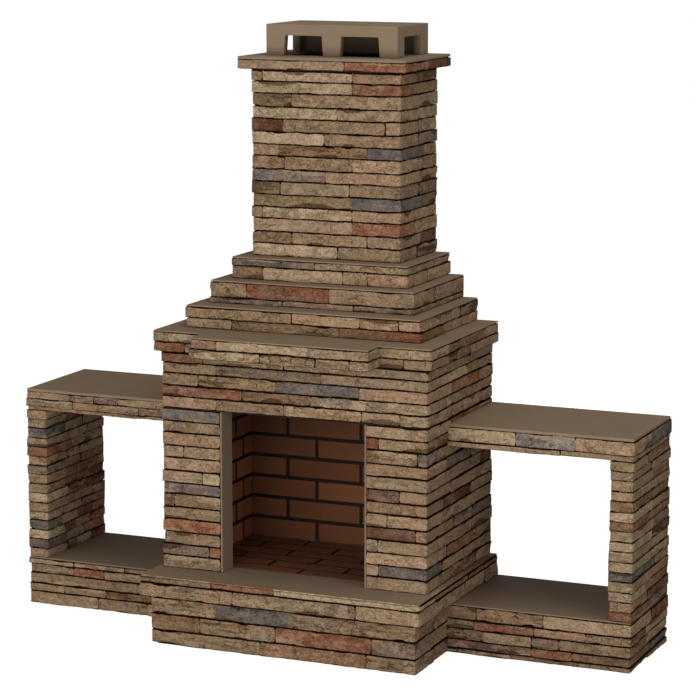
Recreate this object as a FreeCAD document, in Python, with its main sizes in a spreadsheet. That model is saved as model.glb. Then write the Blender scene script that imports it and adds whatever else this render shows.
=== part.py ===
import FreeCAD, Part
import os
import random
import Sketcher

# An outdoor fireplace put together from cast concrete modules: base, hearth, firebox panels,
# mantel, three corbelled smoke chamber tiers, chimney blocks, crown and cap, with a wood box
# on each side. Thin stones are laid in courses on every upright face, and the firebox is
# lined with firebrick. Millimetres, +Z up, front towards -Y, origin under the middle of the
# whole object.
document = FreeCAD.newDocument("outdoor_fireplace")

CHIMNEY_BLOCKS = 4
FLUE_TILES = ("flue_tile_lower", "flue_tile_upper")
SIDES = (("left", -1), ("right", 1))

SIZES = (
    # Build-up of every wall, from the outside in
    ("veneer", 25, "stone facing, face to back"),
    ("panel", 46, "concrete wall panel"),
    ("firebrick", 32, "firebrick lining"),
    ("stone_joint", 5, "joint between two stones"),
    ("stone_relief", 6, "most that one stone stands behind the next"),
    ("stone_course", 54, "usual height of a course of stones"),
    ("pier_course", 42, "usual height of a course on a wood box pier"),
    ("stone_length", 235, "usual length of a stone"),
    ("topping", 6, "smooth topping that runs over the stones of a ledge"),
    # Base and hearth
    ("base_height", 215, "patio to underside of hearth slab"),
    ("base_reach", 126, "base in front of the body"),
    ("base_wall", 60, "wall and web of the base ring"),
    ("hearth_thickness", 94, "hearth slab"),
    ("hearth_overhang", 30, "hearth slab past the base at each side"),
    ("hearth_front_overhang", 36, "hearth slab past the base in front"),
    # Firebox body
    ("body_width", 1220, "body over the stones"),
    ("body_depth", 775, "body over the stones"),
    ("body_height", 952, "hearth to underside of mantel"),
    ("opening_width", 676, "mouth between the stones"),
    ("opening_height", 702, "hearth to top of mouth"),
    ("jamb_lip", 8, "lip that covers the stone ends at the mouth"),
    # Steel angle over the mouth
    ("angle_leg", 40, "upright leg"),
    ("angle_thickness", 4, "both legs"),
    ("angle_bearing", 80, "angle past the mouth at each end"),
    ("angle_setback", 3, "angle behind the face of the stones"),
    ("angle_clearance", 1, "room round the angle in its rebate"),
    # Mantel
    ("mantel_thickness", 90, "mantel slab"),
    ("mantel_overhang", 27, "mantel past the body at front and sides"),
    ("breakfront_width", 810, "middle part that stands forward"),
    ("breakfront_reach", 117, "middle part in front of the rest"),
    # Smoke chamber tiers
    ("lower_height", 97, "lower tier"),
    ("lower_side_setback", 71, "lower tier inside the body"),
    ("lower_front_setback", 95, "lower tier behind the body front"),
    ("middle_height", 98, "middle tier"),
    ("middle_side_setback", 67, "middle tier inside the lower"),
    ("middle_front_setback", 100, "middle tier behind the lower"),
    ("upper_height", 95, "upper tier"),
    ("upper_side_setback", 64, "upper tier inside the middle"),
    ("upper_front_setback", 82, "upper tier behind the middle"),
    ("gather_wall", 60, "least wall round the gather"),
    # Chimney, crown, flue and cap
    ("chimney_height", 808, "upper tier to crown"),
    ("chimney_side_setback", 65, "chimney inside the upper tier"),
    ("chimney_front_setback", 78, "chimney behind the upper tier"),
    ("crown_thickness", 54, "crown slab"),
    ("crown_overhang", 45, "crown past the chimney at sides and rear"),
    ("crown_front_overhang", 54, "crown past the chimney in front"),
    ("crown_topping", 12, "topping over the stones of the crown"),
    ("flue_side_room", 56, "room between chimney blocks and flue at each side"),
    ("flue_end_room", 31, "room between chimney blocks and flue at front and rear"),
    ("flue_wall", 22, "flue tile wall"),
    ("flue_clearance", 3, "room round the flue in the crown"),
    ("cap_width", 610, "cap side to side"),
    ("cap_depth", 353, "cap front to rear"),
    ("cap_height", 134, "cap over all"),
    ("cap_setback", 60, "cap behind the chimney front"),
    ("cap_wall", 38, "cap walls"),
    ("window_height", 86, "cap windows, and the room inside"),
    ("window_top_width", 170, "front window at its head"),
    ("window_foot_width", 183, "front window at its foot"),
    ("window_spacing", 262, "middles of the two front windows"),
    ("side_window_width", 195, "window in each side of the cap"),
    # Wood boxes
    ("woodbox_width", 811, "wood box past the body"),
    ("woodbox_setback", 242, "wood box behind the body front"),
    ("woodbox_top", 55, "top of the hollow wood box base"),
    ("pier_height", 680, "wood box base to shelf"),
    ("shelf_thickness", 96, "shelf slab"),
    ("shelf_topping", 12, "topping over the stones of the shelf"),
    ("tongue_length", 26, "shelf tongue in the firebox wall"),
    ("tongue_height", 40, "shelf tongue"),
    ("tongue_inset", 30, "tongue inside the ends of the wall"),
    ("pocket_clearance", 1, "room round the tongue in its pocket"),
    # Firebrick
    ("brick_length", 345, "whole firebrick"),
    ("brick_height", 82.5, "firebrick course without its joint"),
    ("brick_joint", 13, "refractory joint"),
    ("mortar_recess", 3, "joint behind the brick face"),
    ("rear_even_start", 323, "first joint of even courses, rear wall"),
    ("rear_odd_start", 180, "first joint of odd courses, rear wall"),
    ("side_even_start", 123, "first joint of even courses, side walls"),
    ("side_odd_start", 50, "first joint of odd courses, side walls"),
    ("floor_even_start", 120, "first joint of even rows, floor"),
    ("floor_odd_start", 300, "first joint of odd rows, floor"),
)

# Planes and levels that the sizes give, each worked out once
PLACES = (
    ("front", "base_reach + hearth_front_overhang"
              " - (body_depth + base_reach + hearth_front_overhang + crown_overhang) / 2"),
    ("rear", "front + body_depth"),
    ("side", "body_width / 2"),
    ("wall_side", "side - veneer"),
    ("wall_rear", "rear - veneer"),
    ("cavity_side", "wall_side - panel - firebrick"),
    ("cavity_front", "front + veneer + panel + firebrick"),
    ("cavity_rear", "wall_rear - panel - firebrick"),
    ("mouth_side", "opening_width / 2"),
    ("base_front", "front - base_reach"),
    ("hearth_side", "side + hearth_overhang"),
    ("hearth_front", "base_front - hearth_front_overhang"),
    ("hearth_top", "base_height + hearth_thickness"),
    ("mouth_top", "hearth_top + opening_height"),
    ("mantel_low", "hearth_top + body_height"),
    ("mantel_side", "side + mantel_overhang"),
    ("mantel_front", "front - mantel_overhang"),
    ("breakfront_side", "breakfront_width / 2"),
    ("breakfront_front", "mantel_front - breakfront_reach"),
    ("lower_low", "mantel_low + mantel_thickness"),
    ("lower_side", "side - lower_side_setback"),
    ("lower_front", "front + lower_front_setback"),
    ("middle_low", "lower_low + lower_height"),
    ("middle_side", "lower_side - middle_side_setback"),
    ("middle_front", "lower_front + middle_front_setback"),
    ("upper_low", "middle_low + middle_height"),
    ("upper_side", "middle_side - upper_side_setback"),
    ("upper_front", "middle_front + upper_front_setback"),
    ("chimney_low", "upper_low + upper_height"),
    ("chimney_side", "upper_side - chimney_side_setback"),
    ("chimney_front", "upper_front + chimney_front_setback"),
    ("crown_low", "chimney_low + chimney_height"),
    ("crown_side", "chimney_side + crown_overhang"),
    ("crown_front", "chimney_front - crown_front_overhang"),
    ("crown_rear", "rear + crown_overhang"),
    ("cap_low", "crown_low + crown_thickness"),
    ("cap_side", "cap_width / 2"),
    ("cap_front", "chimney_front + cap_setback"),
    ("cap_rear", "cap_front + cap_depth"),
    ("flue_width", "2 * ( chimney_side - veneer - panel - flue_side_room )"),
    ("flue_depth", "wall_rear - panel - chimney_front - veneer - panel - 2 * flue_end_room"),
    ("flue_side", "flue_width / 2"),
    ("flue_front", "chimney_front + veneer + panel + flue_end_room"),
    ("flue_rear", "flue_front + flue_depth"),
    ("gather_rear", "flue_rear - flue_wall"),
    ("woodbox_side", "side + woodbox_width"),
    ("woodbox_front", "front + woodbox_setback"),
    ("pier_side", "woodbox_side - panel - 2 * veneer"),
    ("shelf_low", "base_height + pier_height"),
    ("shelf_top", "shelf_low + shelf_thickness"),
)

sizes = document.addObject("Spreadsheet::Sheet", "Sizes")
for row, (alias, value, meaning) in enumerate(SIZES, start=1):
    sizes.set(f"A{row}", meaning)
    sizes.set(f"B{row}", str(value))
    sizes.setAlias(f"B{row}", alias)
document.recompute()

SIZE_NAMES = {alias for alias, value, meaning in SIZES}
PLACE_NAMES = {alias for alias, formula in PLACES}


def bound(formula):
    """A formula in plain names, written so that it reads the two sheets."""
    words = str(formula).replace("(", "( ").replace(")", " )").split()
    sheets = [f"Sizes.{word}" if word in SIZE_NAMES else f"Places.{word}" if word in PLACE_NAMES else word
              for word in words]
    return " ".join(sheets)


places = document.addObject("Spreadsheet::Sheet", "Places")
for row, (alias, formula) in enumerate(PLACES, start=1):
    places.set(f"A{row}", alias)
    places.set(f"B{row}", "=" + bound(formula))
    places.setAlias(f"B{row}", alias)
    document.recompute()


def size(formula):
    """The number that a formula gives."""
    return float(places.evalExpression(bound(formula)))


nodes = []


def new_body(label):
    body = document.addObject("PartDesign::Body", label)
    body.Label = label
    nodes.append(body)
    return body


def new_group(label, solids):
    """A node of separate solids, such as the stones of one face."""
    group = document.addObject("Part::Feature", label)
    group.Label = label
    group.Shape = Part.makeCompound(solids)
    group.Placement = FreeCAD.Placement()
    nodes.append(group)


def new_sketch(body, corners, plane, offset):
    """A closed outline whose corners are bound to the sheets, on a plane of its own body."""
    sketch = body.newObject("Sketcher::SketchObject", body.Label + "_outline")
    origin_plane = next(item for item in body.Origin.OriginFeatures if item.Role == plane)
    sketch.AttachmentSupport = [(origin_plane, "")]
    sketch.MapMode = "FlatFace"
    sketch.setExpression(".AttachmentOffset.Base.z", bound(offset))
    points = [FreeCAD.Vector(size(across), size(along), 0) for across, along in corners]
    for index, point in enumerate(points):
        sketch.addGeometry(Part.LineSegment(point, points[(index + 1) % len(points)]), False)
    for index, (point, corner) in enumerate(zip(points, corners)):
        sketch.addConstraint(Sketcher.Constraint("Coincident", index, 2, (index + 1) % len(points), 1))
        for kind, value, formula in zip(("DistanceX", "DistanceY"), point, corner):
            made = sketch.addConstraint(Sketcher.Constraint(kind, -1, 1, index, 1, value))
            sketch.renameConstraint(made, f"{kind}{index}")
            sketch.setExpression(f"Constraints.{kind}{index}", bound(formula))
    document.recompute()
    return sketch


def pad(body, corners, start, length, plane="XY_Plane"):
    """Casts an outline from a plane onwards."""
    feature = body.newObject("PartDesign::Pad", body.Label + "_pad")
    feature.Profile = new_sketch(body, corners, plane, start)
    feature.setExpression("Length", bound(length))
    document.recompute()
    return feature


def pocket(body, corners, start, length, plane="XY_Plane"):
    """Cuts an outline from a plane back into the body."""
    before = body.Shape.Volume
    feature = body.newObject("PartDesign::Pocket", body.Label + "_pocket")
    feature.Profile = new_sketch(body, corners, plane, start)
    feature.setExpression("Length", bound(length))
    document.recompute()
    if body.Shape.Volume >= before:
        raise RuntimeError(f"a pocket of {body.Label} cuts nothing")
    return feature


def rectangle(left, right, near, far):
    return [(left, near), (right, near), (right, far), (left, far)]


def centred(half, near, far):
    return rectangle(f"0 - ( {half} )", half, near, far)


def mirrored(sign, near_side, far_side, near, far):
    """A rectangle on one side of the object, the left one with its X turned round."""
    return rectangle(f"{sign} * ( {near_side} )", f"{sign} * ( {far_side} )", near, far)


# Base: a ring with a web under the middle of the hearth, left hollow to save weight
base = new_body("base_module")
pad(base, centred("wall_side", "base_front + veneer", "wall_rear"), "0", "base_height")
for word, sign in SIDES:
    cell = mirrored(sign, "base_wall / 2", "wall_side - base_wall",
                    "base_front + veneer + base_wall", "wall_rear - base_wall")
    pocket(base, cell, "base_height", "base_height")

# Hearth: a slab whose topping runs over its edge stones, with a recess for the brick floor
hearth = new_body("hearth_slab")
pad(hearth, centred("hearth_side - veneer", "hearth_front + veneer", "wall_rear"),
    "base_height", "hearth_thickness")
pad(hearth, centred("hearth_side", "hearth_front", "rear"), "hearth_top - topping", "topping")
pocket(hearth, centred("cavity_side", "cavity_front", "cavity_rear"), "hearth_top", "firebrick")

# Firebox panels stand on the hearth, each side wall with a pocket for the tongue of a shelf
rear_wall = new_body("firebox_rear_wall")
pad(rear_wall, centred("wall_side", "wall_rear - panel", "wall_rear"), "hearth_top", "body_height")
for word, sign in SIDES:
    side_wall = new_body(f"firebox_{word}_wall")
    pad(side_wall, mirrored(sign, "wall_side - panel", "wall_side", "cavity_front", "wall_rear - panel"),
        "hearth_top", "body_height")
    shelf_pocket = mirrored(sign, "wall_side - tongue_length - pocket_clearance", "wall_side",
                            "woodbox_front + veneer + tongue_inset - pocket_clearance",
                            "wall_rear - panel - tongue_inset + pocket_clearance")
    pocket(side_wall, shelf_pocket, "shelf_low + tongue_height + pocket_clearance",
           "tongue_height + pocket_clearance")

    jamb = new_body(f"{word}_jamb_panel")
    pad(jamb, mirrored(sign, "mouth_side - jamb_lip", "wall_side", "front + veneer", "cavity_front"),
        "hearth_top", "opening_height")
    pad(jamb, mirrored(sign, "mouth_side - jamb_lip", "mouth_side", "front", "front + veneer"),
        "hearth_top", "opening_height")

# Lintel beam across the jambs, rebated for the steel angle that carries the stones above
lintel = new_body("lintel_beam")
pad(lintel, centred("wall_side", "front + veneer", "cavity_front"), "mouth_top", "mantel_low - mouth_top")
rebate = centred("mouth_side + angle_bearing + angle_clearance", "front + veneer",
                 "front + veneer + angle_thickness + angle_clearance")
pocket(lintel, rebate, "mouth_top + angle_leg + angle_clearance", "angle_leg + angle_clearance")

angle = new_body("lintel_angle")
angle_section = [("front + angle_setback", "mouth_top"),
                 ("front + veneer + angle_thickness", "mouth_top"),
                 ("front + veneer + angle_thickness", "mouth_top + angle_leg"),
                 ("front + veneer", "mouth_top + angle_leg"),
                 ("front + veneer", "mouth_top + angle_thickness"),
                 ("front + angle_setback", "mouth_top + angle_thickness")]
pad(angle, angle_section, "0 - mouth_side - angle_bearing", "opening_width + 2 * angle_bearing", "YZ_Plane")


def mantel_outline(inset):
    """The mantel seen from above, with its breakfront, inset all round."""
    side, front = f"mantel_side - {inset}", f"mantel_front + {inset}"
    middle_side, middle_front = f"breakfront_side - {inset}", f"breakfront_front + {inset}"
    right_half = [(middle_side, middle_front), (middle_side, front), (side, front), (side, f"rear - {inset}")]
    left_half = [(f"0 - ( {across} )", along) for across, along in reversed(right_half)]
    return right_half + left_half


mantel = new_body("mantel_slab")
pad(mantel, mantel_outline("veneer"), "mantel_low", "mantel_thickness")
pad(mantel, mantel_outline("0"), "lower_low - topping", "topping")

# Smoke chamber tiers: a gather that narrows from the throat in the mantel to the flue.
# Each opening keeps one least wall inside the tier that stands round it.
throat = centred("lower_side - veneer - gather_wall", "lower_front + veneer + gather_wall", "gather_rear")
middle_gather = centred("middle_side - veneer - gather_wall", "middle_front + veneer + gather_wall",
                        "gather_rear")
upper_gather = centred("upper_side - veneer - gather_wall", "upper_front + veneer + gather_wall",
                       "gather_rear")
flue_bore = centred("flue_side - flue_wall", "flue_front + flue_wall", "flue_rear - flue_wall")
pocket(mantel, throat, "lower_low", "mantel_thickness")

for tier, foot, head in (("lower", throat, middle_gather), ("middle", middle_gather, upper_gather),
                         ("upper", upper_gather, flue_bore)):
    chamber = new_body(f"smoke_chamber_{tier}")
    pad(chamber, centred(f"{tier}_side - veneer", f"{tier}_front + veneer", "wall_rear"),
        f"{tier}_low", f"{tier}_height")
    pad(chamber, centred(f"{tier}_side", f"{tier}_front", "rear"),
        f"{tier}_low + {tier}_height - topping", "topping")
    foot_sketch = new_sketch(chamber, foot, "XY_Plane", f"{tier}_low")
    head_sketch = new_sketch(chamber, head, "XY_Plane", f"{tier}_low + {tier}_height")
    gather = chamber.newObject("PartDesign::SubtractiveLoft", f"{tier}_gather")
    gather.Profile = foot_sketch
    gather.Sections = [head_sketch]
    gather.Ruled = True
    document.recompute()

# Chimney: equal ring blocks, one on another, round a flue of clay tiles
for number in range(CHIMNEY_BLOCKS):
    block = new_body(f"chimney_block_{number + 1}")
    block_height = f"chimney_height / {CHIMNEY_BLOCKS}"
    pad(block, centred("chimney_side - veneer", "chimney_front + veneer", "wall_rear"), "0", block_height)
    pocket(block, centred("chimney_side - veneer - panel", "chimney_front + veneer + panel",
                          "wall_rear - panel"), block_height, block_height)
    block.setExpression("Placement.Base.z", bound(f"chimney_low + {number} * {block_height}"))

tile_height = f"(chimney_height + crown_thickness) / {len(FLUE_TILES)}"
for number, label in enumerate(FLUE_TILES):
    tile = new_body(label)
    pad(tile, centred("flue_side", "flue_front", "flue_rear"), "0", tile_height)
    pocket(tile, flue_bore, tile_height, tile_height)
    tile.setExpression("Placement.Base.z", bound(f"chimney_low + {number} * {tile_height}"))

crown = new_body("chimney_crown")
pad(crown, centred("crown_side - veneer", "crown_front + veneer", "crown_rear - veneer"),
    "crown_low", "crown_thickness")
pad(crown, centred("crown_side", "crown_front", "crown_rear"), "cap_low - crown_topping", "crown_topping")
pocket(crown, centred("flue_side + flue_clearance", "flue_front - flue_clearance",
                      "flue_rear + flue_clearance"), "cap_low", "crown_thickness")

# Cap: a hood, hollow from below, with two splayed windows in front and one in each side
cap = new_body("chimney_cap")
pad(cap, centred("cap_side", "cap_front", "cap_rear"), "cap_low", "cap_height")
pocket(cap, centred("cap_side - cap_wall", "cap_front + cap_wall", "cap_rear - cap_wall"),
       "cap_low + window_height", "window_height")
for word, sign in SIDES:
    middle = f"{sign} * window_spacing / 2"
    window = [(f"{middle} - window_foot_width / 2", "cap_low"),
              (f"{middle} + window_foot_width / 2", "cap_low"),
              (f"{middle} + window_top_width / 2", "cap_low + window_height"),
              (f"{middle} - window_top_width / 2", "cap_low + window_height")]
    pocket(cap, window, "0 - cap_front", "cap_wall", "XZ_Plane")
side_window = rectangle("(cap_front + cap_rear - side_window_width) / 2",
                        "(cap_front + cap_rear + side_window_width) / 2",
                        "cap_low", "cap_low + window_height")
pocket(cap, side_window, "cap_side", "cap_width", "YZ_Plane")

# Wood boxes: a hollow base, an outer pier and a shelf that bears on the pier and the firebox
for word, sign in SIDES:
    box_base = new_body(f"{word}_woodbox_base")
    pad(box_base, mirrored(sign, "wall_side", "woodbox_side - veneer", "woodbox_front + veneer", "wall_rear"),
        "0", "base_height")
    pad(box_base, mirrored(sign, "side", "woodbox_side", "woodbox_front", "rear"),
        "base_height - topping", "topping")
    hollow = mirrored(sign, "wall_side + panel", "woodbox_side - veneer - panel",
                      "woodbox_front + veneer + panel", "wall_rear - panel")
    pocket(box_base, hollow, "base_height - woodbox_top", "base_height - woodbox_top")

    pier = new_body(f"{word}_woodbox_pier")
    pad(pier, mirrored(sign, "pier_side + veneer", "woodbox_side - veneer",
                       "woodbox_front + veneer", "wall_rear"), "base_height", "pier_height")

    shelf = new_body(f"{word}_woodbox_shelf")
    pad(shelf, mirrored(sign, "wall_side", "woodbox_side - veneer", "woodbox_front + veneer", "wall_rear"),
        "shelf_low", "shelf_thickness")
    pad(shelf, mirrored(sign, "side", "woodbox_side", "woodbox_front", "rear"),
        "shelf_top - shelf_topping", "shelf_topping")
    pad(shelf, mirrored(sign, "wall_side - tongue_length", "wall_side",
                        "woodbox_front + veneer + tongue_inset", "wall_rear - panel - tongue_inset"),
        "shelf_low", "tongue_height")


def brick_spans(length, first, whole, joint):
    """Starts and ends of the bricks in one course, cut to fit at both ends."""
    middles = []
    middle = first
    while middle < length - joint:
        middles.append(middle)
        middle += whole + joint
    starts = [0.0] + [middle + joint / 2 for middle in middles]
    ends = [middle - joint / 2 for middle in middles] + [length]
    return list(zip(starts, ends))


def lay_lining(word, corner, along, upward, depth, length, rise, starts):
    """Firebricks in bond on one face, and the recessed joint round them as one solid."""
    brick_joint = size("brick_joint")
    thickness = size("firebrick")

    def block(start, end, low, high, back):
        # The face lies at the corner; the block reaches from a depth behind it to the full thickness
        outline = [corner + along * across + upward * up + depth * back
                   for across, up in ((start, low), (end, low), (end, high), (start, high))]
        face = Part.Face(Part.makePolygon(outline + outline[:1]))
        return face.extrude(depth * (thickness - back))

    bricks = []
    rows = brick_spans(rise, size("brick_height + brick_joint / 2"), size("brick_height"), brick_joint)
    for row, (low, high) in enumerate(rows):
        for start, end in brick_spans(length, size(starts[row % 2]), size("brick_length"), brick_joint):
            bricks.append(block(start, end, low, high, 0))
    new_group(f"firebrick_{word}", bricks)
    bed = block(0, length, 0, rise, size("mortar_recess"))
    new_group(f"mortar_{word}", bed.cut(Part.makeCompound(bricks)).Solids)


# Lining of the firebox, laid against the panels and in the recess of the hearth
AXIS_X, AXIS_Y, AXIS_Z = FreeCAD.Vector(1, 0, 0), FreeCAD.Vector(0, 1, 0), FreeCAD.Vector(0, 0, 1)
cavity_side, cavity_front, cavity_rear = size("cavity_side"), size("cavity_front"), size("cavity_rear")
hearth_top, body_height = size("hearth_top"), size("body_height")
lay_lining("rear", FreeCAD.Vector(-cavity_side, cavity_rear, hearth_top), AXIS_X, AXIS_Z, AXIS_Y,
           2 * cavity_side, body_height, ("rear_even_start", "rear_odd_start"))
for word, sign in SIDES:
    lay_lining(word, FreeCAD.Vector(sign * cavity_side, cavity_front, hearth_top), AXIS_Y, AXIS_Z,
               AXIS_X * sign, size("wall_rear - panel - cavity_front"), body_height,
               ("side_even_start", "side_odd_start"))
lay_lining("floor", FreeCAD.Vector(-cavity_side, cavity_front, hearth_top), AXIS_X, AXIS_Y, -AXIS_Z,
           2 * cavity_side, cavity_rear - cavity_front, ("floor_even_start", "floor_odd_start"))

# How the stones of the faces seen first are set out: for each course from the top down,
# the places of its upright joints in hundredths of the face from the left
FRONT_BOND = {
    "chimney": ((7, 68), (68,), (27, 78), (58,), (21, 90), (49,), (18, 78), (22, 68), (50,), (19, 66), (67,)),
    "upper": ((48,), (18, 64, 78)),
    "middle": ((18, 59), (36, 71)),
    "lower": ((46, 75, 91), (20, 66)),
    "breakfront": ((15, 67), (40, 71, 90)),
    "left_recess": ((28,), (58,)),
    "right_recess": ((), (48,)),
    "body": ((16, 47, 74), (21, 61), (14, 44, 75), (31, 57), (21, 47, 76, 90)),
    "left_pier": ((), (), (), (36,), (), (70,), (), (20,), (), (), (), (80,), ()),
    "right_pier": ((), (20,), (85,), (), (), (55,), (), (35,), (82,), (20,), (), (20,), ()),
    "hearth": ((26, 49), (34, 78)),
    "base": ((25, 55), (19, 48, 84), (42, 82)),
    "left_shelf": ((27, 42, 57), (29, 70), (45,)),
    "right_shelf": ((37, 69), (61,)),
    "left_base": ((28, 60), (28, 47, 78), (35, 68), (22, 48, 76), (43, 74)),
    "right_base": ((16, 53), (15, 48, 76), (20, 47, 62), (47, 69), (35, 72)),
    "crown": ((64,),),
}
# Shares of a height that its courses take, from the top down
COURSE_SHARES = {
    "base": (1.1, 1.0, 0.9), "hearth": (0.27, 0.73), "mantel": (1, 1), "lower": (12, 11),
    "middle": (17, 7), "upper": (7.5, 13.5), "left_shelf": (10, 11, 5), "right_shelf": (12.5, 5),
    "left_base": (5.5, 9.5, 11, 8.5, 13), "right_base": (13, 9, 11, 9, 5),
}
# Tall walls repeat this rhythm of slightly higher and lower courses
COURSE_RHYTHM = (1.0, 0.93, 1.08, 0.97, 1.05)
# Lengths of neighbouring stones against the usual length
LENGTH_SPREAD = (0.6, 1.45)
CORNER_SHARE = 0.65

veneer, stone_joint = size("veneer"), size("stone_joint")
stone_relief, stone_length = size("stone_relief"), size("stone_length")


def courses(low, high, shares=(), usual="stone_course"):
    """Levels of the courses between two heights, from the top down."""
    if not shares:
        count = max(1, round((high - low) / size(usual)))
        shares = [COURSE_RHYTHM[index % len(COURSE_RHYTHM)] for index in range(count)]
    levels = []
    head = high
    for share in shares:
        foot = head - (high - low) * share / sum(shares)
        levels.append((foot, head))
        head = foot
    return levels


def upright_joints(length, bond, between_corners, draw):
    """Places of the joints along one face, as set out by hand or drawn at random."""
    if bond is not None:
        return [length * share / 100 for share in bond]
    # No stone turns two corners, except on a face too narrow for a joint of its own
    narrow = stone_length / 2 if between_corners else stone_length
    least = 1 if length <= narrow else 2
    count = max(least, round(length / stone_length))
    weights = [draw.uniform(*LENGTH_SPREAD) for index in range(count)]
    weights[0] *= CORNER_SHARE
    weights[-1] *= CORNER_SHARE
    return [length * sum(weights[:index]) / sum(weights) for index in range(1, count)]


def cut_stone(line, start, end, setback, low, high):
    """One stone along a line of faces: a block, or bent round the corners that it passes."""
    corners = []
    walked = 0.0
    for begin, finish in zip(line, line[1:]):
        step = (finish - begin).Length
        onward = (finish - begin) / step
        inward = FreeCAD.Vector(-onward.y, onward.x, 0)
        first, last = max(start, walked), min(end, walked + step)
        if first < last:
            # Where the stone passes a corner of the wall, the insets of both faces add up
            turned = corners.pop()[1] if corners else FreeCAD.Vector()
            corners.append((begin + onward * (first - walked), turned + inward))
            corners.append((begin + onward * (last - walked), inward))
        walked += step
    outer = [point + inward * setback for point, inward in corners]
    inner = [point + inward * veneer for point, inward in reversed(corners)]
    lift = FreeCAD.Vector(0, 0, low)
    outline = [point + lift for point in outer + inner]
    return Part.Face(Part.makePolygon(outline + outline[:1])).extrude(FreeCAD.Vector(0, 0, high - low))


# A corner stone is filed with the front, and one at a rear corner with the side
FILED_LAST = ("left", "right", "rear")


def filing(face):
    return FILED_LAST.index(face) if face in FILED_LAST else -1


def lay_course(group, line, faces, low, high, draw, bonds):
    """Lays the stones of one course along a line, and files each under a face that it is on."""
    places_along, stretches = [0.0], []
    walked = 0.0
    for number, (begin, finish, face) in enumerate(zip(line, line[1:], faces), start=1):
        length = (finish - begin).Length
        between_corners = 1 < number < len(faces)
        joints = upright_joints(length, bonds.get(face), between_corners, draw)
        places_along += [walked + place for place in joints]
        stretches.append((walked, walked + length, face))
        walked += length
    places_along.append(walked)
    gap = stone_joint / 2
    for start, end in zip(places_along, places_along[1:]):
        touched = [face for first, last, face in stretches if start + gap < last and end - gap > first]
        stone = cut_stone(line, start + gap, end - gap, draw.uniform(0, stone_relief), low + gap, high - gap)
        group.setdefault(min(touched, key=filing), []).append(stone)


def plan(*corners):
    return [FreeCAD.Vector(size(across), size(along), 0) for across, along in corners]


RING_FACES = ("front", "right", "rear", "left")
RING_START = (0.3, 0.7)


def ring(left, right, near, far, first_face, draw):
    """A line right round a rectangle, which starts part way along one face."""
    corners = [FreeCAD.Vector(*corner) for corner in ((left, near), (right, near), (right, far), (left, far))]
    turn = RING_FACES.index(first_face)
    corners = corners[turn:] + corners[:turn]
    faces = RING_FACES[turn:] + RING_FACES[:turn]
    start = corners[0] + (corners[1] - corners[0]) * draw.uniform(*RING_START)
    return [start] + corners[1:] + [corners[0], start], faces + faces[:1]


def lay_ring(left, right, near, far, levels, name, first_face="rear"):
    """Courses of stones right round a rectangle; returns the stones of each face."""
    group = {}
    bond = FRONT_BOND.get(name)
    for number, (low, high) in enumerate(levels):
        draw = random.Random(f"{name} {number}")
        line, faces = ring(left, right, near, far, first_face, draw)
        bonds = {"front": bond[number % len(bond)]} if bond else {}
        lay_course(group, line, faces, low, high, draw, bonds)
    return group


def lay_lines(lines, levels, name):
    """Courses of stones along open lines; returns the stones of each face."""
    group = {}
    for number, (low, high) in enumerate(levels):
        draw = random.Random(f"{name} {number}")
        for line, faces in lines:
            bonds = {face: FRONT_BOND[face][number % len(FRONT_BOND[face])]
                     for face in faces if face in FRONT_BOND}
            lay_course(group, line, faces, low, high, draw, bonds)
    return group


def one_node(label, group):
    new_group(label, [stone for stones in group.values() for stone in stones])


# Stones of the central base: in front and back to the wood boxes, and across the rear
base_lines = (
    (plan(("0 - side", "woodbox_front + veneer"), ("0 - side", "base_front"), ("side", "base_front"),
          ("side", "woodbox_front + veneer")), ("left", "base", "right")),
    (plan(("side", "rear"), ("0 - side", "rear")), ("rear",)),
)
one_node("base_stones", lay_lines(base_lines, courses(0, size("base_height"), COURSE_SHARES["base"]), "base"))

hearth_levels = courses(size("base_height"), size("hearth_top - topping"), COURSE_SHARES["hearth"])
one_node("hearth_edge_stones", lay_ring(-size("hearth_side"), size("hearth_side"), size("hearth_front"),
                                        size("rear"), hearth_levels, "hearth"))


def body_lines(low, high, number):
    """Lines of stone round the body at one course, parted by the mouth and by the shelves."""
    above_mouth = low >= size("mouth_top")
    meets_shelf = low < size("shelf_top") and high > size("shelf_low")
    right_return, left_return = ("side", "woodbox_front + veneer"), ("0 - side", "woodbox_front + veneer")
    right_front = (("mouth_side", "front"), ("side", "front"))
    left_front = (("0 - side", "front"), ("0 - mouth_side", "front"))
    rear_edge = (("side", "rear"), ("0 - side", "rear"))
    if meets_shelf and above_mouth:
        return ((plan(left_return, left_front[0], right_front[1], right_return), ("left", "body", "right")),
                (plan(*rear_edge), ("rear",)))
    if meets_shelf:
        return ((plan(*right_front, right_return), ("right_pier", "right")),
                (plan(*rear_edge), ("rear",)),
                (plan(left_return, *left_front), ("left", "left_pier")))
    if above_mouth:
        draw = random.Random(f"body {number}")
        line, faces = ring(-size("side"), size("side"), size("front"), size("rear"), "rear", draw)
        return ((line, [face.replace("front", "body") for face in faces]),)
    return ((plan(*right_front, *rear_edge, *left_front),
             ("right_pier", "right", "rear", "left", "left_pier")),)


def shelf_trims(low, high):
    """What is left of a course of the body's side above and below the shelf that meets it."""
    spans = ((low, min(high, size("shelf_low"))), (max(low, size("shelf_top")), high))
    thinnest = 3 * stone_joint
    return [span for span in spans if span[1] - span[0] > thinnest and low < size("shelf_top")
            and high > size("shelf_low")]


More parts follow.
